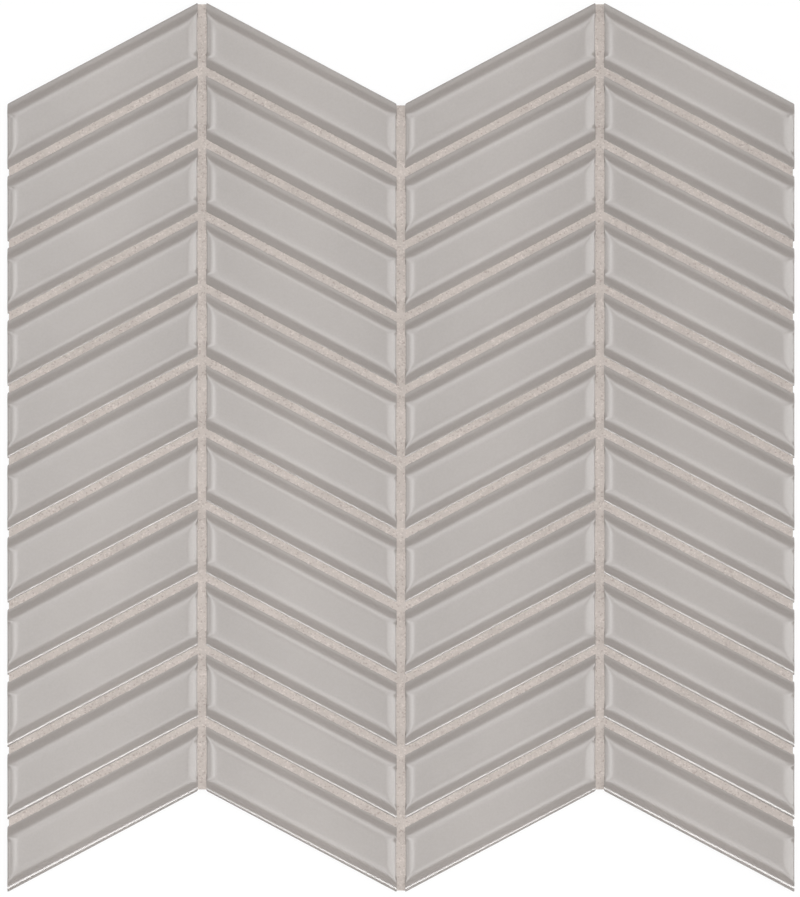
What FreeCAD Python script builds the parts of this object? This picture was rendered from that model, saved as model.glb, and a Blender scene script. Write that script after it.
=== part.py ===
"""Chevron ceramic mosaic wall tile: one sheet of glazed chips on a mesh, with grouted joints.

The sheet lies on its glass-fibre mesh with the glazed face up. X runs across the columns, Y runs up the
wall and Z points out of the face. The origin is the middle of the sheet, on the plane that the mesh lies on.
All sizes are millimetres.
"""

import FreeCAD
import Part
import math
import os

# Layout of the sheet
columns = 4
rows = 11

# One ceramic chip: a parallelogram with two upright ends and two slanting long edges
chip_width = 72.9
chip_end_height = 25.2
chip_slope_deg = 28.0
chip_thickness = 7.0

# The chip's cushioned edges: a broad arc falls away from the flat face and a small nose leads to the wall.
# The drop is how far below the face the arc would meet the wall if there were no nose. The ends' cushions
# are shallower, so the long edges' cushions run through to the chip's ends.
long_cushion_width = 7.5
long_cushion_drop = 2.0
end_cushion_width = 5.0
end_cushion_drop = 0.8
nose_radius = 1.0

# Joints between the chips' walls
upright_joint = 3.3
slanting_joint = 2.2

# Grout: how far its rim lies below the chips' faces, how far its tooled hollow dips below the rim,
# and how far its ends stop short of where the rim would reach on the sheet's outer edges
grout_rim_depth = 1.8
grout_hollow = 0.2
grout_end_margin = 0.4

# Mesh backing: flat coated yarns, crosswise ones below and lengthwise ones above
yarn_pitch = 7.5
yarn_width = 0.7
yarn_thickness = 0.25
shortest_yarn = 10.0
mesh_margin = 2.0

# Worked out from the sizes above
slope = math.tan(math.radians(chip_slope_deg))
slope_cosine = math.cos(math.radians(chip_slope_deg))
column_pitch = chip_width + upright_joint
row_pitch = chip_end_height + slanting_joint / slope_cosine
chip_back = 2 * yarn_thickness
chip_face = chip_back + chip_thickness
half_width = (columns * column_pitch - upright_joint) / 2
half_height = ((rows - 1) * row_pitch + chip_end_height) / 2
long_cushion = (long_cushion_width, long_cushion_drop)
end_cushion = (end_cushion_width, end_cushion_drop)


def column_centre(column):
    """X of a column's middle."""
    return (column - (columns - 1) / 2) * column_pitch


def row_centre(row):
    """Y of the middle of a row's chips, counted from the top."""
    return ((rows - 1) / 2 - row) * row_pitch


def lean(column):
    """+1 where the chips rise to the right, -1 where they fall."""
    return 1 if column % 2 == 0 else -1


def prism(outline, bottom, top):
    """Upright solid over a closed outline of (x, y) points."""
    corners = [FreeCAD.Vector(x, y, bottom) for x, y in outline]
    face = Part.Face(Part.makePolygon(corners + corners[:1]))
    return face.extrude(FreeCAD.Vector(0, 0, top - bottom))


def sheet_outline(inset):
    """The sheet's zigzag outline, drawn in from the outer chips' walls by an inset."""
    zigzag = []
    for column in range(columns):
        for side in (-1, 1):
            x = column_centre(column) + side * chip_width / 2
            x = max(-half_width + inset, min(half_width - inset, x))
            zigzag.append((x, lean(column) * (x - column_centre(column)) * slope))
    rise = half_height - inset / slope_cosine
    upper = [(x, y + rise) for x, y in zigzag]
    lower = [(x, y - rise) for x, y in reversed(zigzag)]
    return upper + lower


def cushion_radius(cushion):
    """Radius of a cushion's arc, level with the face at the cushion's width from the wall."""
    width, drop = cushion
    return (width**2 + drop**2) / (2 * drop)


def nose_drop(cushion):
    """How far below the face the nose of an edge ends and its wall begins."""
    width = cushion[0]
    radius = cushion_radius(cushion)
    return radius - math.sqrt((radius - nose_radius)**2 - (width - nose_radius)**2)


def edge_waste(start, end, cushion):
    """What the press leaves off along one edge of a chip, outside its cushion and nose."""
    start = FreeCAD.Vector(start[0], start[1], chip_face)
    end = FreeCAD.Vector(end[0], end[1], chip_face)
    along = (end - start).normalize()
    inward = FreeCAD.Vector(-along.y, along.x, 0)
    overrun = along * chip_thickness

    def point(depth_in, height):
        return start - overrun + inward * depth_in + FreeCAD.Vector(0, 0, height)

    def on_circle(centre, radius, angle):
        return point(centre[0] - radius * math.sin(angle), centre[1] + radius * math.cos(angle))

    width = cushion[0]
    radius = cushion_radius(cushion)
    drop = nose_drop(cushion)
    cushion_centre = (width, -radius)
    nose_centre = (nose_radius, -drop)
    turn = math.asin((width - nose_radius) / (radius - nose_radius))
    wall = math.pi / 2
    top = on_circle(cushion_centre, radius, 0)
    middle = on_circle(cushion_centre, radius, turn)
    foot = on_circle(nose_centre, nose_radius, wall)
    slope_off = Part.Arc(top, on_circle(cushion_centre, radius, turn / 2), middle).toShape()
    nose = Part.Arc(middle, on_circle(nose_centre, nose_radius, (turn + wall) / 2), foot).toShape()
    clear = chip_thickness
    around = Part.makePolygon([foot, point(-clear, -drop), point(-clear, clear), point(width, clear), top])
    section = Part.Face(Part.Wire([slope_off, nose] + around.Edges))
    return section.extrude(end - start + overrun * 2)


def ceramic_chip(column):
    """A chip of one column: a pressed parallelogram with all four edges of its face cushioned."""
    shear = lean(column) * slope * chip_width / 2
    end = chip_end_height / 2
    right = chip_width / 2
    corners = [(-right, -end - shear), (right, -end + shear), (right, end + shear), (-right, end - shear)]
    blank = prism(corners, chip_back, chip_face)
    edges = zip(corners, corners[1:] + corners[:1], [long_cushion, end_cushion] * 2)
    return blank.cut([edge_waste(start, finish, cushion) for start, finish, cushion in edges])


def rim_reach(cushion):
    """How far onto an edge's nose, measured from the wall, the grout's rim lies."""
    above = min(max(nose_drop(cushion) - grout_rim_depth, 0), nose_radius)
    return nose_radius - math.sqrt(nose_radius**2 - above**2)


def tooled_hollow(start, end, joint, cushion):
    """The round bar that hollows out a joint's grout along its centre line."""
    chord = joint + 2 * (rim_reach(cushion) + grout_end_margin)
    radius = (chord**2 / 4 + grout_hollow**2) / (2 * grout_hollow)
    axis_height = chip_face - grout_rim_depth + radius - grout_hollow
    base = FreeCAD.Vector(start[0], start[1], axis_height)
    run = FreeCAD.Vector(end[0] - start[0], end[1] - start[1], 0)
    return Part.makeCylinder(radius, run.Length, base, run)


def grout_casting(chips):
    """The grout that fills every joint between the chips, with its face tooled hollow."""
    outline = sheet_outline(rim_reach(long_cushion) + grout_end_margin)
    casting = prism(outline, chip_back, chip_face - grout_rim_depth)
    hollows = []
    overrun = half_height + chip_width
    for column in range(columns - 1):
        x = column_centre(column) + column_pitch / 2
        hollows.append(tooled_hollow((x, -overrun), (x, overrun), upright_joint, end_cushion))
    for column in range(columns):
        left = column_centre(column) - column_pitch / 2
        right = column_centre(column) + column_pitch / 2
        drop = lean(column) * slope * column_pitch / 2
        for row in range(rows - 1):
            y = (row_centre(row) + row_centre(row + 1)) / 2
            start = (left, y - drop)
            finish = (right, y + drop)
            hollows.append(tooled_hollow(start, finish, slanting_joint, long_cushion))
    return casting.cut(hollows).cut(chips).removeSplitter()


def column_slab(column):
    """The space of one column, from the middle of one upright joint to the middle of the next."""
    left = column_centre(column) - column_pitch / 2
    right = column_centre(column) + column_pitch / 2
    tall = half_height + chip_width
    return prism([(left, -tall), (right, -tall), (right, tall), (left, tall)], chip_back, chip_face)


def yarns(lengthwise, bottom):
    """One layer of parallel mesh yarns, cut to the sheet's outline, without the shortest ends."""
    reach = max(half_width, half_height) + chip_width
    across = half_width if lengthwise else half_height + chip_width * slope / 2
    count = int((across - mesh_margin) / yarn_pitch)
    layer = []
    for number in range(-count, count + 1):
        near = number * yarn_pitch - yarn_width / 2
        far = near + yarn_width
        ends = [(near, -reach), (far, -reach), (far, reach), (near, reach)]
        outline = ends if lengthwise else [(y, x) for x, y in ends]
        layer.append(prism(outline, bottom, bottom + yarn_thickness))
    cutter = prism(sheet_outline(mesh_margin), bottom, bottom + yarn_thickness)
    pieces = Part.makeCompound(layer).common(cutter).Solids
    return [piece for piece in pieces if piece.BoundBox.DiagonalLength > shortest_yarn]


def write(name, shape):
    """Saves one piece, or the like pieces of one layer, under its name."""
    solids = shape.Solids
    shape = solids[0] if len(solids) == 1 else Part.makeCompound(solids)
    shape.exportStep(os.path.join("parts", name + ".step"))


def main():
    os.makedirs("parts", exist_ok=True)
    chips = []
    for column in range(columns):
        model = ceramic_chip(column)
        for row in range(rows):
            chip = model.copy()
            chip.translate(FreeCAD.Vector(column_centre(column), row_centre(row), 0))
            chips.append(chip)
            write(f"ceramic_chip_column{column + 1}_row{row + 1:02d}", chip)
    casting = grout_casting(chips)
    for column in range(columns):
        write(f"grout_column{column + 1}", casting.common(column_slab(column)))
    write("mesh_crosswise_yarns", Part.makeCompound(yarns(False, 0)))
    write("mesh_lengthwise_yarns", Part.makeCompound(yarns(True, yarn_thickness)))


main()
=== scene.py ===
"""Looks of the chevron ceramic mosaic wall tile.

The sheet lies flat on a white table with its glazed face up, and the camera looks straight down on it. The
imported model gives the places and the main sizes. X runs across the columns, Y up the wall and Z out of the
face, in metres.
"""

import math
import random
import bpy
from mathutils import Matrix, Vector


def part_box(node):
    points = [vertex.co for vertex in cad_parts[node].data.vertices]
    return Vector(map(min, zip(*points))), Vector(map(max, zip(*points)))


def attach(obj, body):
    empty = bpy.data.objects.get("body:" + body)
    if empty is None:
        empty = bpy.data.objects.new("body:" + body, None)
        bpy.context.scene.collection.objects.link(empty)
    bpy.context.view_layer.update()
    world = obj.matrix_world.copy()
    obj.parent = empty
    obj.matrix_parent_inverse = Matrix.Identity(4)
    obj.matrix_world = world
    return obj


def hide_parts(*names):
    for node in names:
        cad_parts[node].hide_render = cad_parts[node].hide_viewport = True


bl_info = {
    "name": "Chevron mosaic tile",
    "version": (1, 0, 0),
    "blender": (4, 5, 0),
    "location": "3D View > Sidebar > Mosaic tile",
    "description": "Glazed chips, sanded grout, woven backing and stage of a chevron mosaic sheet",
    "category": "Object",
}

import bpy
from mathutils import Vector

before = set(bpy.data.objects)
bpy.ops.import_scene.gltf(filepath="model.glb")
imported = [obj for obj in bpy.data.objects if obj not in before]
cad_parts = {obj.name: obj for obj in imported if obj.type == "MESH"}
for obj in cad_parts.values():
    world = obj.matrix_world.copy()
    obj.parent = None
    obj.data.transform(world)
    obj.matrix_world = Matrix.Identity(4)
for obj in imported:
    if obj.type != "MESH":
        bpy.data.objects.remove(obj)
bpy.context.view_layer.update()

MM = 0.001
BODY = "root"
COLUMNS = range(1, 5)
ROWS = range(1, 12)
PHOTO_WIDTH_PX = 800
PHOTO_MM_PER_PX = 0.3829
SLOPE_ANGLE = math.radians(28.0)
SLOPE = math.tan(SLOPE_ANGLE)
SLOPE_COSINE = math.cos(SLOPE_ANGLE)
SHARP_ANGLE = math.radians(60)
FIRING_SEED = 4
SAND_SEED = 11
# Most values of a noise texture lie between these
NOISE_SPAN = {"From Min": 0.3, "From Max": 0.7}


def chip_node(column, row):
    """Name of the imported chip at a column, counted from the left, and a row, counted from the top."""
    return f"ceramic_chip_column{column}_row{row:02d}"


def lean(column):
    """+1 where the chips rise to the right, -1 where they fall."""
    return 1 if column % 2 else -1


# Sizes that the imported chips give
first_low, first_high = (Vector(corner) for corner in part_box(chip_node(1, 1)))
CHIP_WIDTH = first_high.x - first_low.x
CHIP_END = first_high.y - first_low.y - SLOPE * CHIP_WIDTH
CHIP_BACK = first_low.z
CHIP_FACE = first_high.z
COLUMN_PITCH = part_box(chip_node(2, 1))[0][0] - first_low.x
ROW_PITCH = first_low.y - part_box(chip_node(1, 2))[0][1]
HALF_HEIGHT = (ROW_PITCH * (len(ROWS) - 1) + CHIP_END) / 2
HALF_WIDTH = (COLUMN_PITCH * (len(COLUMNS) - 1) + CHIP_WIDTH) / 2
UPRIGHT_JOINT = COLUMN_PITCH - CHIP_WIDTH
SLANTING_JOINT = (ROW_PITCH - CHIP_END) * SLOPE_COSINE


def column_centre(column):
    """X of a column's middle."""
    return (column - (len(COLUMNS) + 1) / 2) * COLUMN_PITCH


def row_centre(row):
    """Y of the middle of a row's chips."""
    return ((len(ROWS) + 1) / 2 - row) * ROW_PITCH


def nearest_column(x):
    """The column that a place belongs to."""
    return min(COLUMNS, key=lambda column: abs(x - column_centre(column)))


def spread(start, end, steps):
    """Evenly spaced values from start to end, both included."""
    return [start + (end - start) * i / steps for i in range(steps + 1)]


def smooth(share):
    """An even share from 0 to 1, eased at both ends."""
    share = min(max(share, 0.0), 1.0)
    return share ** 2 * (3 - 2 * share)


def linear(hex_colour):
    """An sRGB hex colour as linear red, green and blue."""
    channels = [int(hex_colour[i:i + 2], 16) / 255 for i in (1, 3, 5)]
    return [c / 12.92 if c <= 0.04045 else ((c + 0.055) / 1.055) ** 2.4 for c in channels]


def size(name, description, millimetres):
    """A length that a user may change, given in millimetres."""
    return bpy.props.FloatProperty(
        name=name, description=description, default=millimetres * MM, min=0.0, unit="LENGTH", precision=5)


def share(name, description, value):
    """A plain share or strength that a user may change."""
    return bpy.props.FloatProperty(name=name, description=description, default=value, min=0.0)


def colour(name, description, hex_colour):
    """A colour that a user may change, given as sRGB hex."""
    return bpy.props.FloatVectorProperty(
        name=name, description=description, default=linear(hex_colour), min=0.0, max=1.0, size=3,
        subtype="COLOR")


class ChipSettings(bpy.types.PropertyGroup):
    """Pressed and glazed chips."""

    long_cushion: size("Long cushion", "Width of the rounded-off band along a chip's long edges", 7.5)
    end_cushion: size("End cushion", "Width of the rounded-off band along a chip's upright ends", 5.0)
    long_drop: size("Long drop", "How far below the face a long edge's cushion would meet the wall", 2.0)
    end_drop: size("End drop", "How far below the face an end's cushion would meet the wall", 0.8)
    nose: size("Nose", "Radius of the small rounding between cushion and wall", 1.0)
    corner: size("Corner", "Radius of a chip's corners, seen from above", 0.45)
    mitre: size("Mitre", "How soft the line is where two cushions meet", 0.14)
    fade_start: size("Fade start", "Distance from a long edge where an end's cushion starts to deepen", 2.4)
    fade_length: size("Fade length", "Distance over which an end's cushion comes to its full depth", 3.4)
    fade_least: share("Fade least", "Share of an end cushion's depth that is left beside a long edge", 0.35)
    glaze: colour("Glaze", "Colour of the warm grey glaze", "#99938F")
    body: colour("Body", "Colour of the bare fired body at the chip's foot", "#CDBFB0")
    firing: share("Firing", "How much a chip may be lighter or darker than the next", 0.04)
    # Painted shade: the glaze is drawn lighter in each chip's middle and darker towards its upright ends
    painted_end_shade: share("End_shade", "How much darker the glaze is where it shades towards a chip's ends", 0.19)


class GroutSettings(bpy.types.PropertyGroup):
    """Sanded cement grout."""

    rim_depth: size("Rim depth", "How far the grout's rim lies below the faces in a slanting joint", 1.65)
    upright_rim_depth: size("Upright rim", "How far the rim lies below the faces in an upright joint", 0.87)
    raise_start: size("Raise start", "Distance from a slanting joint at which an upright one rises", 1.5)
    raise_length: size("Raise length", "Distance along an upright joint over which its grout rises", 6.5)
    hollow: size("Hollow", "How far the tooled middle of a joint dips below its rim", 0.2)
    back_gap: size("Back gap", "How far the grout's back stops short of the chips' backs", 0.05)
    end_margin: size("End margin", "How far the grout stops short of the sheet's outer walls", 0.55)
    lap: size("Lap", "How far the grout reaches in under a long edge's nose", 0.9)
    upright_lap: size("Upright lap", "How far the grout reaches in under an end's nose", 0.45)
    grit: size("Grit", "Size of the sand grains", 0.55)
    cement: colour("Cement", "Colour of the cement between the grains", "#B6ADA7")
    pale_sand: colour("Pale sand", "Colour of the palest grains", "#C5BCB6")
    brown_sand: colour("Brown sand", "Colour of the darkest grains", "#A39892")


class BackingSettings(bpy.types.PropertyGroup):
    """Woven glass-fibre backing."""

    pitch: size("Pitch", "Distance from yarn to yarn", 7.5)
    weft_width: size("Weft width", "Width of a flat crosswise yarn", 0.7)
    warp_width: size("Warp width", "Width of one of the two twisted lengthwise yarns", 0.34)
    margin: size("Margin", "How far the backing stays inside the sheet's edge", 2.0)
    shortest: size("Shortest yarn", "Yarn ends shorter than this are trimmed away", 10.0)
    yarn: colour("Yarn", "Colour of the coated yarn", "#E6E6E2")


class StageSettings(bpy.types.PropertyGroup):
    """Table, light and camera."""

    camera_height: size("Camera height", "Distance from the glazed face up to the camera", 2500.0)
    table_size: size("Table size", "Length of the table's side", 6000.0)
    table: colour("Table", "Colour of the table", "#FAFAFA")
    overhead: share("Overhead light", "Strength of the soft light straight above", 2.5)
    strip: share("Strip light", "Strength of the strip light that arches from left to right", 5.2)
    front: share("Front fill", "Strength of the low fill light from the front", 0.25)
    back: share("Back light", "Strength of the low soft light from behind", 1.8)
    arm: share("Camera arm", "Share of the overhead light that the camera's arm, on the right, hides", 0.3)
    key: share("Key lamp", "Power in watts of the diffused lamp close above, left of the middle", 0.1)
    front_lamps: share("Front lamps", "Power in watts of each of the two low strip lamps in front", 3.3)
    room: share("Room light", "Strength of the dim light from all round", 0.03)


def add_node(tree, kind, settings=None, links=None):
    """Adds a node, sets its settings, and gives its inputs a value or a link from another node's output."""
    node = tree.nodes.new(kind)
    for name, value in (settings or {}).items():
        setattr(node, name, value)
    for name, value in (links or {}).items():
        if isinstance(value, bpy.types.NodeSocket):
            tree.links.new(value, node.inputs[name])
        else:
            node.inputs[name].default_value = value
    return node


def new_material(name):
    """An empty node material with a shader and an output. Returns the material, its tree and its shader."""
    material = bpy.data.materials.new(name)
    material.use_nodes = True
    tree = material.node_tree
    tree.nodes.clear()
    shader = add_node(tree, "ShaderNodeBsdfPrincipled")
    add_node(tree, "ShaderNodeOutputMaterial", {}, {"Surface": shader.outputs["BSDF"]})
    return material, tree, shader


def rgba(rgb):
    """A colour with full opacity, as sockets take it."""
    return (*rgb, 1.0)


def scaled(rgb, factor):
    """A colour made darker or lighter, with full opacity."""
    return (*(c * factor for c in rgb), 1.0)


def add_piece(name, vertices, faces, material, nodes):
    """Makes one mesh piece in the frame, riding on the sheet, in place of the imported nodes."""
    mesh = bpy.data.meshes.new(name)
    mesh.from_pydata(vertices, [], faces)
    mesh.update()
    mesh.polygons.foreach_set("use_smooth", [True] * len(mesh.polygons))
    mesh.set_sharp_from_angle(angle=SHARP_ANGLE)
    mesh.materials.append(material)
    piece = bpy.data.objects.new(name, mesh)
    bpy.context.scene.collection.objects.link(piece)
    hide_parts(*nodes)
    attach(piece, BODY)
    return piece


class Cushion:
    """Section through one edge of a chip: an arc that falls from the face, a small nose, then the wall."""

    def __init__(self, width, drop, nose):
        self.width = width
        self.nose = nose
        self.radius = (width ** 2 + drop ** 2) / (2 * drop)
        self.turn = math.asin((width - nose) / (self.radius - nose))
        self.arc_depth = self.radius * (1 - math.cos(self.turn))
        self.nose_depth = self.radius - (self.radius - nose) * math.cos(self.turn)

    def depth(self, inset):
        """How far below the face the surface is, at a distance in from the wall."""
        if inset >= self.width:
            return 0.0
        if inset >= self.width - self.radius * math.sin(self.turn):
            return self.radius - math.sqrt(self.radius ** 2 - (self.width - inset) ** 2)
        return self.nose_depth - math.sqrt(max(self.nose ** 2 - (self.nose - inset) ** 2, 0.0))

    def insets(self, nose_steps, arc_steps):
        """Distances in from the wall, at even turns round the nose and then along the arc."""
        span = math.pi / 2 - self.turn
        nose = [self.nose * (1 - math.cos(span * i / nose_steps)) for i in range(nose_steps)]
        turns = [self.turn * (1 - i / arc_steps) for i in range(arc_steps + 1)]
        return nose + [self.width - self.radius * math.sin(turn) for turn in turns]


def edge_to_edge(insets, half, steps):
    """Pairs of a place across a chip and its distance in from the nearer wall, close set at both edges."""
    near = [(-half + inset, inset) for inset in insets]
    middle = [(place, half - abs(place)) for place in spread(near[-1][0], -near[-1][0], steps)[1:-1]]
    far = [(-place, inset) for place, inset in reversed(near)]
    return near + middle + far


def chip_mesh(side, settings):
    """Vertices and faces of a chip about its middle: foot, walls and a grid over its cushions and face."""
    long_edge = Cushion(settings.long_cushion, settings.long_drop, settings.nose)
    end_edge = Cushion(settings.end_cushion, settings.end_drop, settings.nose)
    nose_steps, end_steps, long_steps, face_steps, face_rows = 6, 10, 14, 12, 3
    across = edge_to_edge(end_edge.insets(nose_steps, end_steps), CHIP_WIDTH / 2, face_steps)
    up = edge_to_edge(long_edge.insets(nose_steps, long_steps), CHIP_END * SLOPE_COSINE / 2, face_rows)
    vertices = []
    for x, from_end in across:
        for level, from_long in up:
            # The corners are rounded off by the mapping of a square onto a disc
            end_share = max(1 - from_end / settings.corner, 0.0)
            long_share = max(1 - from_long / settings.corner, 0.0)
            x_in = settings.corner * end_share * (1 - math.sqrt(1 - long_share ** 2 / 2))
            level_in = settings.corner * long_share * (1 - math.sqrt(1 - end_share ** 2 / 2))
            x_place = x - math.copysign(x_in, x)
            y_place = (level - math.copysign(level_in, level)) / SLOPE_COSINE
            # The ends' cushions die out towards the long edges, whose cushions run through to the ends
            risen = smooth((from_long - settings.fade_start) / settings.fade_length)
            end_depth = end_edge.depth(from_end) * (settings.fade_least + (1 - settings.fade_least) * risen)
            long_depth = long_edge.depth(from_long)
            # The deeper of the two cushions counts, with a soft line where they meet
            apart = math.hypot(end_depth - long_depth, settings.mitre) - settings.mitre
            depth = (end_depth + long_depth + apart) / 2
            vertices.append((x_place, y_place + side * SLOPE * x_place, CHIP_FACE - depth))
    tall, wide = len(up), len(across)
    faces = []
    for i in range(wide - 1):
        for j in range(tall - 1):
            corner = i * tall + j
            faces.append((corner, corner + tall, corner + tall + 1, corner + 1))
    rim = [i * tall for i in range(wide)] + [(wide - 1) * tall + j for j in range(1, tall)]
    rim += [i * tall + tall - 1 for i in reversed(range(wide - 1))]
    rim += reversed(range(1, tall - 1))
    foot = len(vertices)
    vertices += [(vertices[i][0], vertices[i][1], CHIP_BACK) for i in rim]
    for k in range(len(rim)):
        following = (k + 1) % len(rim)
        faces.append((rim[k], foot + k, foot + following, rim[following]))
    faces.append(tuple(foot + k for k in reversed(range(len(rim)))))
    return vertices, faces


def glossy_glaze(settings):
    """Stoneware under a fired gloss glaze: a mirror-like coat with a faint ripple over an even warm grey,
    cloudy on the scale of a chip, with fine specks. The coat stops above the foot, where the bare body is
    buff and dull."""
    cloud_size, speck_size, ripple_size = 18 * MM, 0.9 * MM, 7 * MM
    cloud_swing, speck_swing = 0.05, 0.06
    darkest, lightest = 0.8, 1.2
    bare_roughness, glazed_roughness = 0.8, 0.1
    foot_height, coat_fade, coat_wander = 1.2 * MM, 0.3 * MM, 0.6 * MM
    material, tree, shader = new_material("glossy_stoneware_glaze")
    place = add_node(tree, "ShaderNodeTexCoord").outputs["Object"]
    # The tone attribute carries each chip's random firing tone together with a painted shade towards its
    # ends
    tone = add_node(tree, "ShaderNodeAttribute", {"attribute_name": "firing_tone_and_end_shade"}).outputs["Fac"]
    cloud = add_node(tree, "ShaderNodeTexNoise", {}, {
        "Vector": place, "Scale": 1 / cloud_size, "Detail": 3.0, "Roughness": 0.6}).outputs["Fac"]
    speck = add_node(tree, "ShaderNodeTexNoise", {}, {
        "Vector": place, "Scale": 1 / speck_size, "Detail": 2.0, "Roughness": 0.7}).outputs["Fac"]
    cloudiness = add_node(tree, "ShaderNodeMapRange", {}, {
        "Value": cloud, **NOISE_SPAN, "To Min": -cloud_swing, "To Max": cloud_swing}).outputs["Result"]
    speckle = add_node(tree, "ShaderNodeMapRange", {}, {
        "Value": speck, **NOISE_SPAN, "To Min": -speck_swing, "To Max": speck_swing}).outputs["Result"]
    mottle = add_node(tree, "ShaderNodeMath", {"operation": "ADD"}, {0: cloudiness, 1: speckle}).outputs[0]
    shade = add_node(tree, "ShaderNodeMath", {"operation": "ADD"}, {0: mottle, 1: tone}).outputs[0]
    glaze = add_node(tree, "ShaderNodeMix", {"data_type": "RGBA", "blend_type": "MIX"}, {
        0: shade, 6: scaled(settings.glaze, darkest), 7: scaled(settings.glaze, lightest)}).outputs[2]
    height = add_node(tree, "ShaderNodeSeparateXYZ", {}, {0: place}).outputs["Z"]
    coat_edge = add_node(tree, "ShaderNodeMath", {"operation": "MULTIPLY_ADD"}, {
        0: cloud, 1: coat_wander, 2: height}).outputs[0]
    bare_below = CHIP_BACK + foot_height
    coated = add_node(tree, "ShaderNodeMapRange", {"interpolation_type": "SMOOTHSTEP"}, {
        "Value": coat_edge, "From Min": bare_below, "From Max": bare_below + coat_fade}).outputs["Result"]
    surface = add_node(tree, "ShaderNodeMix", {"data_type": "RGBA"}, {
        0: coated, 6: rgba(settings.body), 7: glaze}).outputs[2]
    dullness = add_node(tree, "ShaderNodeMapRange", {}, {
        "Value": coated, "To Min": bare_roughness, "To Max": glazed_roughness}).outputs["Result"]
    ripple = add_node(tree, "ShaderNodeTexNoise", {}, {
        "Vector": place, "Scale": 1 / ripple_size, "Detail": 2.0}).outputs["Fac"]
    relief = add_node(tree, "ShaderNodeBump", {}, {
        "Strength": 0.25, "Distance": 0.05 * MM, "Height": ripple}).outputs["Normal"]
    tree.links.new(surface, shader.inputs["Base Color"])
    tree.links.new(dullness, shader.inputs["Roughness"])
    tree.links.new(relief, shader.inputs["Normal"])
    shader.inputs["IOR"].default_value = 1.58
    return material


class PressChips(bpy.types.Operator):
    """Makes the glazed ceramic chips, each with cushioned edges, its own firing tone and a painted shade
    towards its ends
    """

    bl_idname = "chevron_tile.press_chips"
    bl_label = "Press and glaze the chips"

    def execute(self, context):
        settings = context.scene.chevron_chips
        material = glossy_glaze(settings)
        draw = random.Random(FIRING_SEED)
        shapes = {side: chip_mesh(side, settings) for side in (1, -1)}
        for column in COLUMNS:
            for row in ROWS:
                vertices, faces = shapes[lean(column)]
                x, y = column_centre(column), row_centre(row)
                placed = [(vx + x, vy + y, vz) for vx, vy, vz in vertices]
                node = chip_node(column, row)
                name = node.replace("ceramic", "glazed")
                piece = add_piece(name, placed, faces, material, [node])
                tone = piece.data.attributes.new("firing_tone_and_end_shade", "FLOAT", "POINT")
                # A random firing tone for the chip, plus painted shade: the glaze is drawn lighter in the
                # chip's middle and darker towards its upright ends
                fired = 0.5 + settings.painted_end_shade / 2 + draw.uniform(-settings.firing, settings.firing)
                aside = [math.pi * min(abs(vertex[0]) / CHIP_WIDTH, 0.5) for vertex in vertices]
                tones = [fired - settings.painted_end_shade * math.sin(turn) ** 2 for turn in aside]
                tone.data.foreach_set("value", tones)
        return {"FINISHED"}


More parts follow.
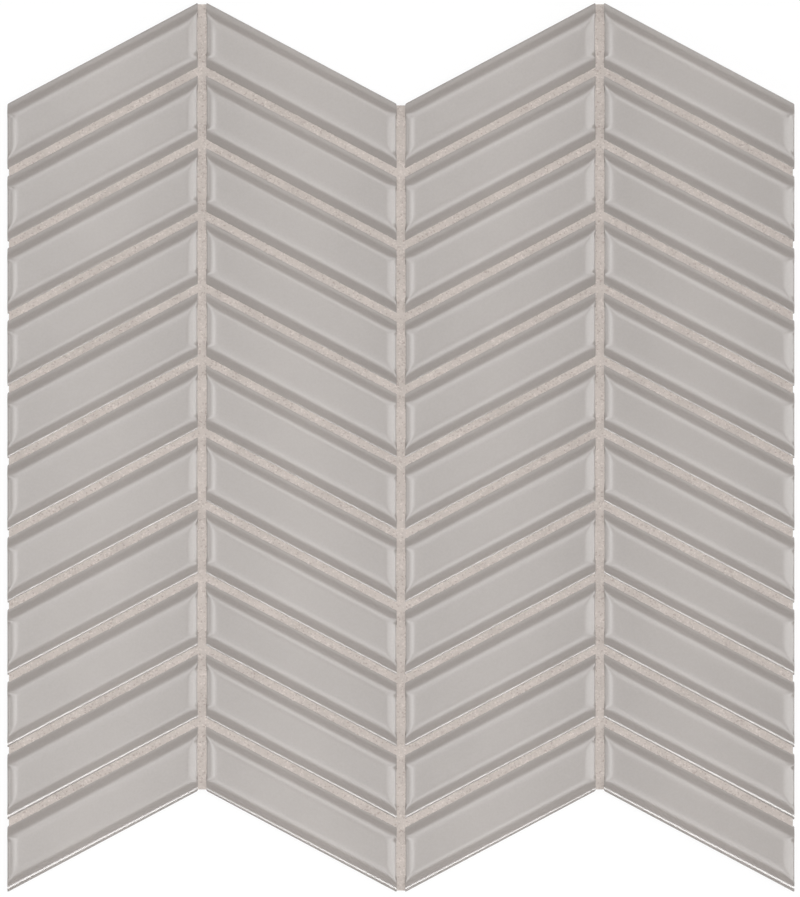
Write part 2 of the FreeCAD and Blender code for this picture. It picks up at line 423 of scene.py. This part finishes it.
class GroutSheet:
    """The grout's surface, made joint by joint. It keeps its vertices by place, so that joints that meet
    share their edges."""

    def __init__(self, settings):
        self.settings = settings
        self.draw = random.Random(SAND_SEED)
        self.index = {}
        self.vertices = []
        self.faces = []
        self.grid = 0.5 * MM
        self.mouth_steps = 8
        self.half_upright = UPRIGHT_JOINT / 2 + settings.upright_lap
        self.half_slanting = (SLANTING_JOINT / 2 + settings.lap) / SLOPE_COSINE

    def relief(self):
        """Random height of the sandy surface: small grit, now and then a proud grain or a pinhole."""
        unevenness, proud_share, pinhole_share = 0.025 * MM, 0.06, 0.015
        lowest_grain, highest_grain = 0.05 * MM, 0.12 * MM
        shallowest_hole, deepest_hole = 0.1 * MM, 0.3 * MM
        chance = self.draw.random()
        height = self.draw.gauss(0.0, unevenness)
        if chance < proud_share:
            height += self.draw.uniform(lowest_grain, highest_grain)
        elif chance > 1 - pinhole_share:
            height -= self.draw.uniform(shallowest_hole, deepest_hole)
        return height

    def height(self, x, y):
        """Height of the smooth tooled surface. It dips towards a joint's centre line and stands higher in
        an upright joint, beside the chips' ends, than in a slanting one, beside their lower long edges."""
        settings = self.settings
        beyond_lap = 0.2 * MM
        raised_reach, raised_fade = 6 * MM, 4 * MM
        across = min(abs(x - (column_centre(before) + COLUMN_PITCH / 2)) for before in COLUMNS[:-1])
        upright = max(1 - (across / (self.half_upright + beyond_lap)) ** 2, 0.0)
        column = nearest_column(x)
        level = (y - lean(column) * SLOPE * (x - column_centre(column))) / ROW_PITCH - 0.5
        aside = abs(level - round(level)) * ROW_PITCH * SLOPE_COSINE
        slanting = max(1 - (aside / (SLANTING_JOINT / 2 + settings.lap + beyond_lap)) ** 2, 0.0)
        raised = smooth((aside - settings.raise_start) / settings.raise_length)
        beside_ends = raised * smooth((raised_reach - across) / raised_fade)
        depth = settings.rim_depth + (settings.upright_rim_depth - settings.rim_depth) * beside_ends
        return CHIP_FACE - depth - settings.hollow * max(upright, slanting)

    def vertex(self, x, y, top=True):
        """Index of the vertex at a place, on the tooled surface or on the back."""
        key = (round(x / MM, 3), round(y / MM, 3), top)
        if key not in self.index:
            self.index[key] = len(self.vertices)
            z = self.height(x, y) + self.relief() if top else CHIP_BACK + self.settings.back_gap
            self.vertices.append((x, y, z))
        return self.index[key]

    def back_face(self, loop):
        """One face on the back, through places that go round it."""
        self.faces.append(tuple(self.vertex(x, y, False) for x, y in loop))

    def wall(self, places):
        """Side faces from the tooled surface down to the back, along a row of places."""
        for (x0, y0), (x1, y1) in zip(places, places[1:]):
            self.faces.append((self.vertex(x0, y0), self.vertex(x0, y0, False),
                               self.vertex(x1, y1, False), self.vertex(x1, y1)))

    def fill(self, lines):
        """Faces of the tooled surface, between each line of places and the next."""
        for here, there in zip(lines, lines[1:]):
            for j in range(len(here) - 1):
                self.faces.append((self.vertex(*here[j]), self.vertex(*there[j]),
                                   self.vertex(*there[j + 1]), self.vertex(*here[j + 1])))

    def upright_joint(self, column):
        """Fills the upright joint right of a column, open where the slanting joints run into it."""
        upright_steps = 9
        middle = column_centre(column) + COLUMN_PITCH / 2
        rise = lean(column) * SLOPE * (COLUMN_PITCH / 2 - self.half_upright)
        reach = HALF_HEIGHT - self.settings.end_margin / SLOPE_COSINE
        tip = lean(column) * SLOPE * CHIP_WIDTH / 2
        levels = [-reach + tip]
        mouths = set()
        for row in reversed(ROWS[:-1]):
            centre = row_centre(row) - ROW_PITCH / 2 + rise
            steps = max(1, round((centre - self.half_slanting - levels[-1]) / self.grid))
            levels += spread(levels[-1], centre - self.half_slanting, steps)[1:]
            first = len(levels) - 1
            levels += spread(centre - self.half_slanting, centre + self.half_slanting, self.mouth_steps)[1:]
            mouths.update(range(first, len(levels) - 1))
        steps = max(1, round((reach + tip - levels[-1]) / self.grid))
        levels += spread(levels[-1], reach + tip, steps)[1:]
        across = spread(middle - self.half_upright, middle + self.half_upright, upright_steps)
        self.fill([[(x, y) for y in reversed(levels)] for x in across])
        left, right = across[0], across[-1]
        for i, (low, high) in enumerate(zip(levels, levels[1:])):
            self.back_face([(left, low), (left, high), (right, high), (right, low)])
            if i not in mouths:
                self.wall([(left, high), (left, low)])
                self.wall([(right, low), (right, high)])
        self.wall([(x, levels[0]) for x in across])
        self.wall([(x, levels[-1]) for x in reversed(across)])

    def slanting_joints(self, column):
        """Fills a column's slanting joints, with end walls at the sheet's outer edges."""
        centre = column_centre(column)
        left = centre - COLUMN_PITCH / 2 + self.half_upright
        right = centre + COLUMN_PITCH / 2 - self.half_upright
        outer_left = column == COLUMNS[0]
        outer_right = column == COLUMNS[-1]
        if outer_left:
            left = -HALF_WIDTH + self.settings.end_margin
        if outer_right:
            right = HALF_WIDTH - self.settings.end_margin
        stations = spread(left, right, round((right - left) / self.grid))
        for row in ROWS[:-1]:
            level = row_centre(row) - ROW_PITCH / 2
            lines = []
            for x in stations:
                y = level + lean(column) * SLOPE * (x - centre)
                mouth = spread(y + self.half_slanting, y - self.half_slanting, self.mouth_steps)
                lines.append([(x, place) for place in mouth])
            self.fill(lines)
            self.wall([line[0] for line in reversed(lines)])
            self.wall([line[-1] for line in lines])
            if outer_left:
                self.wall(lines[0])
            if outer_right:
                self.wall(lines[-1][::-1])
            for i, (here, there) in enumerate(zip(lines, lines[1:])):
                start = here if i == 0 else [here[0], here[-1]]
                end = there if i == len(lines) - 2 else [there[0], there[-1]]
                self.back_face(start + end[::-1])


def sanded_grout(settings):
    """Sanded cement grout, tooled and sponged: dull, with sand grains from pale to brown in a pinkish grey
    cement, slightly uneven in tone from place to place."""
    patch_size, patch_swing = 9 * MM, 0.06
    material, tree, shader = new_material("sanded_cement_grout")
    place = add_node(tree, "ShaderNodeTexCoord").outputs["Object"]
    grain = add_node(tree, "ShaderNodeTexVoronoi", {"feature": "F1"}, {
        "Vector": place, "Scale": 1 / settings.grit})
    pick = add_node(tree, "ShaderNodeSeparateColor", {}, {0: grain.outputs["Color"]}).outputs["Red"]
    sand = add_node(tree, "ShaderNodeValToRGB", {}, {"Fac": pick})
    stops = sand.color_ramp.elements
    stops[0].position, stops[0].color = 0.0, rgba(settings.brown_sand)
    stops[1].position, stops[1].color = 1.0, rgba(settings.pale_sand)
    for position in (0.18, 0.8):
        stops.new(position).color = rgba(settings.cement)
    patch = add_node(tree, "ShaderNodeTexNoise", {}, {
        "Vector": place, "Scale": 1 / patch_size, "Detail": 2.0}).outputs["Fac"]
    swing = {"To Min": 1 - patch_swing, "To Max": 1 + patch_swing}
    patchiness = add_node(tree, "ShaderNodeMapRange", {}, {
        "Value": patch, **NOISE_SPAN, **swing}).outputs["Result"]
    mixed = add_node(tree, "ShaderNodeVectorMath", {"operation": "SCALE"}, {
        0: sand.outputs["Color"], "Scale": patchiness}).outputs[0]
    fine = add_node(tree, "ShaderNodeTexNoise", {}, {
        "Vector": place, "Scale": 2 / settings.grit, "Detail": 2.0}).outputs["Fac"]
    relief = add_node(tree, "ShaderNodeBump", {}, {
        "Strength": 0.5, "Distance": 0.1 * MM, "Height": fine}).outputs["Normal"]
    tree.links.new(mixed, shader.inputs["Base Color"])
    tree.links.new(relief, shader.inputs["Normal"])
    shader.inputs["Roughness"].default_value = 0.95
    shader.inputs["Specular IOR Level"].default_value = 0.25
    return material


class SpreadGrout(bpy.types.Operator):
    """Makes the grout that fills every joint as one casting, tooled hollow and sandy"""

    bl_idname = "chevron_tile.spread_grout"
    bl_label = "Spread and tool the grout"

    def execute(self, context):
        settings = context.scene.chevron_grout
        sheet = GroutSheet(settings)
        for column in COLUMNS[:-1]:
            sheet.upright_joint(column)
        for column in COLUMNS:
            sheet.slanting_joints(column)
        nodes = [f"grout_column{column}" for column in COLUMNS]
        material = sanded_grout(settings)
        add_piece("sanded_grout", sheet.vertices, sheet.faces, material, nodes)
        return {"FINISHED"}


def coated_yarn(settings):
    """Glass-fibre yarn with an alkali-proof coat: dull white, finely uneven from its filaments."""
    # Real filaments are about 0.01 mm, so they are drawn coarser to show at all
    filament_size = 0.15 * MM
    material, tree, shader = new_material("coated_glass_fibre_yarn")
    place = add_node(tree, "ShaderNodeTexCoord").outputs["Object"]
    filament = add_node(tree, "ShaderNodeTexNoise", {}, {
        "Vector": place, "Scale": 1 / filament_size, "Detail": 2.0}).outputs["Fac"]
    tint = add_node(tree, "ShaderNodeMapRange", {}, {
        "Value": filament, **NOISE_SPAN, "To Min": 0.85, "To Max": 1.05}).outputs["Result"]
    shade = add_node(tree, "ShaderNodeVectorMath", {"operation": "SCALE"}, {
        0: tuple(settings.yarn), "Scale": tint}).outputs[0]
    relief = add_node(tree, "ShaderNodeBump", {}, {
        "Strength": 0.4, "Distance": 0.03 * MM, "Height": filament}).outputs["Normal"]
    tree.links.new(shade, shader.inputs["Base Color"])
    tree.links.new(relief, shader.inputs["Normal"])
    shader.inputs["Roughness"].default_value = 0.55
    return material


def strand(vertices, faces, path, width, thickness, sides):
    """A closed tube of oval section along a path that runs along X or Y."""
    base = len(vertices)
    along = (Vector(path[-1]) - Vector(path[0])).normalized()
    across = Vector((0, 0, 1)).cross(along)
    for point in path:
        for i in range(sides):
            angle = 2 * math.pi * (i + 0.5) / sides
            offset = across * (math.cos(angle) * width / 2)
            lift = math.sin(angle) * thickness / 2
            vertices.append((point[0] + offset.x, point[1] + offset.y, point[2] + lift))
    for k in range(len(path) - 1):
        for i in range(sides):
            j = (i + 1) % sides
            low, high = base + k * sides, base + (k + 1) * sides
            faces.append((low + i, low + j, high + j, high + i))
    faces.append(tuple(base + i for i in reversed(range(sides))))
    faces.append(tuple(base + (len(path) - 1) * sides + i for i in range(sides)))


def zigzag(x):
    """How far the chevron has risen or fallen at a place across the sheet."""
    column = nearest_column(x)
    aside = max(-CHIP_WIDTH / 2, min(CHIP_WIDTH / 2, x - column_centre(column)))
    return lean(column) * SLOPE * aside


class WeaveBacking(bpy.types.Operator):
    """Makes the glass-fibre backing: flat crosswise yarns, gripped by pairs of twisted lengthwise yarns"""

    bl_idname = "chevron_tile.weave_backing"
    bl_label = "Weave the backing"

    def execute(self, context):
        settings = context.scene.chevron_backing
        material = coated_yarn(settings)
        middle = CHIP_BACK / 2
        weft_thickness = CHIP_BACK * 0.4
        warp_thickness = CHIP_BACK * 0.44
        warp_swing = settings.warp_width * 0.55
        weft_sides, warp_sides = 8, 5
        weft_step, scan_step = 10 * MM, 0.25 * MM
        rise = HALF_HEIGHT - settings.margin / SLOPE_COSINE
        half_width = HALF_WIDTH - settings.margin
        vertices, faces = [], []
        for i in range(-int(half_width / settings.pitch), int(half_width / settings.pitch) + 1):
            x = i * settings.pitch
            low, high = zigzag(x) - rise, zigzag(x) + rise
            steps = round((high - low) / (settings.pitch / 2))
            for above in (1, -1):
                path = []
                for y in spread(low, high, steps):
                    swing = above * math.cos(math.pi * y / settings.pitch) * warp_swing
                    path.append((x + swing, y, middle + above * (CHIP_BACK - warp_thickness) / 2))
                strand(vertices, faces, path, settings.warp_width, warp_thickness, warp_sides)
        add_piece("backing_warp_yarns", vertices, faces, material, ["mesh_lengthwise_yarns"])
        vertices, faces = [], []
        tallest = HALF_HEIGHT + SLOPE * CHIP_WIDTH / 2
        for i in range(-int(tallest / settings.pitch), int(tallest / settings.pitch) + 1):
            y = i * settings.pitch
            run = []
            for x in spread(-half_width, half_width, round(2 * half_width / scan_step)) + [math.inf]:
                if x < math.inf and abs(y - zigzag(x)) <= rise:
                    run.append(x)
                    continue
                if run and run[-1] - run[0] > settings.shortest:
                    steps = max(1, round((run[-1] - run[0]) / weft_step))
                    path = [(place, y, middle) for place in spread(run[0], run[-1], steps)]
                    strand(vertices, faces, path, settings.weft_width, weft_thickness, weft_sides)
                run = []
        add_piece("backing_weft_yarns", vertices, faces, material, ["mesh_crosswise_yarns"])
        return {"FINISHED"}


def soft_light(settings):
    """The studio's light as seen from the sheet: a soft light straight above that glows towards its front
    and back edges and is partly hidden by the camera's arm, a strip light that arches over from left to
    right, a faint low fill in front, a low soft light behind, and a dim room. The camera itself sees plain
    white beyond the table."""
    world = bpy.data.worlds.new("soft_studio_light")
    world.use_nodes = True
    tree = world.node_tree
    tree.nodes.clear()
    direction = add_node(tree, "ShaderNodeTexCoord").outputs["Generated"]
    parts = add_node(tree, "ShaderNodeSeparateXYZ", {}, {0: direction}).outputs
    right = parts["X"]
    left = add_node(tree, "ShaderNodeMath", {"operation": "MULTIPLY"}, {0: right, 1: -1.0}).outputs[0]
    front = add_node(tree, "ShaderNodeMath", {"operation": "MULTIPLY"}, {0: parts["Y"], 1: -1.0}).outputs[0]
    # The lights above stand a little towards the front
    offset = 0.015
    centred = add_node(tree, "ShaderNodeMath", {"operation": "ADD"}, {0: parts["Y"], 1: offset}).outputs[0]
    aside = add_node(tree, "ShaderNodeMath", {"operation": "ABSOLUTE"}, {0: centred}).outputs[0]
    levels = {"full": 1.0, "room": settings.room}
    # Each level fades between two directions, given as parts of the unit vector that points there
    for name, along, start, end, before, after in (
            ("soft_edge", aside, 0.295, 0.47, settings.overhead, 0.0),
            ("glow", aside, 0.05, 0.28, 1.0, 1.58),
            ("right_end", right, 0.2, 0.34, 1.0, 0.0),
            ("left_end", left, 0.2, 0.34, 1.0, 0.0),
            ("arm_near_side", right, 0.018, 0.05, 0.0, settings.arm),
            ("arm_far_side", right, 0.075, 0.125, 1.0, 0.0),
            ("strip_edge", aside, 0.08, 0.125, settings.strip, 0.0),
            ("front", front, 0.62, 0.82, 0.0, settings.front),
            ("back_top", front, -0.6, -0.72, 0.0, settings.back),
            ("back_foot", front, -0.78, -0.9, 1.0, 0.0)):
        fade = add_node(tree, "ShaderNodeMapRange", {"interpolation_type": "SMOOTHSTEP"}, {
            "Value": along, "From Min": start, "From Max": end, "To Min": before, "To Max": after})
        levels[name] = fade.outputs["Result"]
    # Levels of the strip light along its arch, from the left horizon over the top to the right horizon
    turn = add_node(tree, "ShaderNodeMapRange", {}, {
        "Value": right, "From Min": -1.0, "From Max": 1.0}).outputs["Result"]
    arch = add_node(tree, "ShaderNodeValToRGB", {}, {"Fac": turn})
    arch.color_ramp.interpolation = "EASE"
    stops = arch.color_ramp.elements
    left_horizon, right_horizon = 0.3, 0.6
    stops[0].position, stops[0].color = 0.0, rgba([left_horizon] * 3)
    stops[1].position, stops[1].color = 1.0, rgba([right_horizon] * 3)
    for toward_right, level in (
            (-0.8, 0.45), (-0.62, 0.55), (-0.45, 0.32), (-0.34, 0.8), (-0.26, 0.75), (-0.17, 0.35),
            (-0.09, 0.12), (-0.03, 0.0), (0.03, 0.0), (0.09, 0.1), (0.18, 0.25), (0.28, 0.65),
            (0.37, 1.0), (0.47, 0.92), (0.62, 0.95), (0.8, 0.95)):
        stops.new((toward_right + 1) / 2).color = rgba([level] * 3)
    levels["arch"] = arch.outputs["Color"]
    for name, operation, shares in (
            ("arm", "MULTIPLY", ("arm_near_side", "arm_far_side")),
            ("beside_arm", "SUBTRACT", ("full", "arm")),
            ("overhead", "MULTIPLY", ("soft_edge", "glow", "right_end", "left_end", "beside_arm")),
            ("strip", "MULTIPLY", ("strip_edge", "arch")),
            ("back", "MULTIPLY", ("back_top", "back_foot")),
            ("all", "ADD", ("overhead", "strip", "front", "back", "room"))):
        total = levels[shares[0]]
        for part in shares[1:]:
            step = add_node(tree, "ShaderNodeMath", {"operation": operation}, {0: total, 1: levels[part]})
            total = step.outputs[0]
        levels[name] = total
    path = add_node(tree, "ShaderNodeLightPath")
    seen = add_node(tree, "ShaderNodeMix", {"data_type": "FLOAT"}, {
        0: path.outputs["Is Camera Ray"], 2: levels["all"], 3: 1.0}).outputs[0]
    light = add_node(tree, "ShaderNodeBackground", {}, {"Color": (1, 1, 1, 1), "Strength": seen})
    add_node(tree, "ShaderNodeOutputWorld", {}, {"Surface": light.outputs[0]})
    return world


def painted_table(settings):
    """Matt white painted board: even and dull, with a barely seen cloudiness from the roller."""
    roller_width, whitened = 60 * MM, 0.9
    material, tree, shader = new_material("matt_white_painted_board")
    place = add_node(tree, "ShaderNodeTexCoord").outputs["Object"]
    roller = add_node(tree, "ShaderNodeTexNoise", {}, {
        "Vector": place, "Scale": 1 / roller_width}).outputs["Fac"]
    tint = add_node(tree, "ShaderNodeMapRange", {}, {
        "Value": roller, "To Min": 0.99, "To Max": 1.0}).outputs["Result"]
    shade = add_node(tree, "ShaderNodeVectorMath", {"operation": "SCALE"}, {
        0: tuple(settings.table), "Scale": tint}).outputs[0]
    tree.links.new(shade, shader.inputs["Base Color"])
    shader.inputs["Roughness"].default_value = 0.9
    # Camera rays and glossy rays see the table as nearly plain white
    path = add_node(tree, "ShaderNodeLightPath").outputs
    seen = add_node(tree, "ShaderNodeMath", {"operation": "MAXIMUM"}, {
        0: path["Is Camera Ray"], 1: path["Is Glossy Ray"]}).outputs[0]
    lift = add_node(tree, "ShaderNodeMath", {"operation": "MULTIPLY"}, {0: seen, 1: whitened}).outputs[0]
    white = add_node(tree, "ShaderNodeEmission", {}, {"Color": (1, 1, 1, 1), "Strength": 1.0})
    both = add_node(tree, "ShaderNodeMixShader", {}, {0: lift, 1: shader.outputs[0], 2: white.outputs[0]})
    tree.links.new(both.outputs[0], tree.nodes["Material Output"].inputs["Surface"])
    return material


class SetStage(bpy.types.Operator):
    """Makes the table, the soft light and the camera that looks straight down"""

    bl_idname = "chevron_tile.set_stage"
    bl_label = "Set the stage"

    def lamp(self, name, power, width, height, place, against):
        """A soft lamp at a place, unseen by the camera, that shines against a direction."""
        light = bpy.data.lights.new(name, "AREA")
        light.energy = power
        light.shape = "RECTANGLE"
        light.size, light.size_y = width, height
        lamp = bpy.data.objects.new(name, light)
        bpy.context.scene.collection.objects.link(lamp)
        lamp.location = place
        lamp.rotation_euler = against.to_track_quat("Z", "Y").to_euler()
        lamp.visible_camera = False
        return lamp

    def execute(self, context):
        scene = context.scene
        settings = scene.chevron_stage
        half = settings.table_size / 2
        mesh = bpy.data.meshes.new("table")
        corners = [(-half, -half, 0), (half, -half, 0), (half, half, 0), (-half, half, 0)]
        mesh.from_pydata(corners, [], [(0, 1, 2, 3)])
        mesh.materials.append(painted_table(settings))
        table = bpy.data.objects.new("table", mesh)
        scene.collection.objects.link(table)
        scene.world = soft_light(settings)
        # The key lamp hangs left of the middle, so the right-hand column falls off a little
        key_width, key_length = 100 * MM, 600 * MM
        key_place = Vector((-80, 0, 280)) * MM
        straight_up = Vector((0, 0, 1))
        key_lamp = self.lamp("key_lamp", settings.key, key_width, key_length, key_place, straight_up)
        key_lamp.visible_glossy = False
        # The front lamps draw the thin white lines along the lower edges of the front rows
        front_width, front_height = 800 * MM, 100 * MM
        for name, side in (("front_lamp_right", 1), ("front_lamp_left", -1)):
            place = Vector((side * 450, -1190, 870)) * MM
            toed_out = Vector((-place.x, place.y, place.z))
            self.lamp(name, settings.front_lamps, front_width, front_height, place, toed_out)
        # The sheet's middle stands a little right of and above the photo's middle
        middle_offset_px = (0.9, 1.1)
        lens = bpy.data.cameras.new("camera")
        lens.sensor_fit = "HORIZONTAL"
        lens.lens = lens.sensor_width * settings.camera_height / (PHOTO_WIDTH_PX * PHOTO_MM_PER_PX * MM)
        camera = bpy.data.objects.new("camera", lens)
        scene.collection.objects.link(camera)
        shift_x, shift_y = (-offset * PHOTO_MM_PER_PX * MM for offset in middle_offset_px)
        camera.location = (shift_x, shift_y, CHIP_FACE + settings.camera_height)
        scene.camera = camera
        scene.view_settings.view_transform = "Standard"
        return {"FINISHED"}


class MosaicPanel(bpy.types.Panel):
    """Lists the settings and the steps that make the sheet"""

    bl_idname = "VIEW3D_PT_chevron_tile"
    bl_label = "Chevron mosaic tile"
    bl_space_type = "VIEW_3D"
    bl_region_type = "UI"
    bl_category = "Mosaic tile"

    def draw(self, context):
        for operator, pointer, kind in STEPS:
            box = self.layout.box()
            box.operator(operator.bl_idname)
            for name in kind.__annotations__:
                box.prop(getattr(context.scene, pointer), name)


STEPS = (
    (PressChips, "chevron_chips", ChipSettings),
    (SpreadGrout, "chevron_grout", GroutSettings),
    (WeaveBacking, "chevron_backing", BackingSettings),
    (SetStage, "chevron_stage", StageSettings),
)


def register():
    for operator, pointer, kind in STEPS:
        bpy.utils.register_class(kind)
        bpy.utils.register_class(operator)
        setattr(bpy.types.Scene, pointer, bpy.props.PointerProperty(type=kind))
    bpy.utils.register_class(MosaicPanel)


def unregister():
    bpy.utils.unregister_class(MosaicPanel)
    for operator, pointer, kind in reversed(STEPS):
        delattr(bpy.types.Scene, pointer)
        bpy.utils.unregister_class(operator)
        bpy.utils.unregister_class(kind)


def main():
    register()
    bpy.ops.chevron_tile.press_chips()
    bpy.ops.chevron_tile.spread_grout()
    bpy.ops.chevron_tile.weave_backing()
    bpy.ops.chevron_tile.set_stage()


if __name__ == "__main__":
    main()
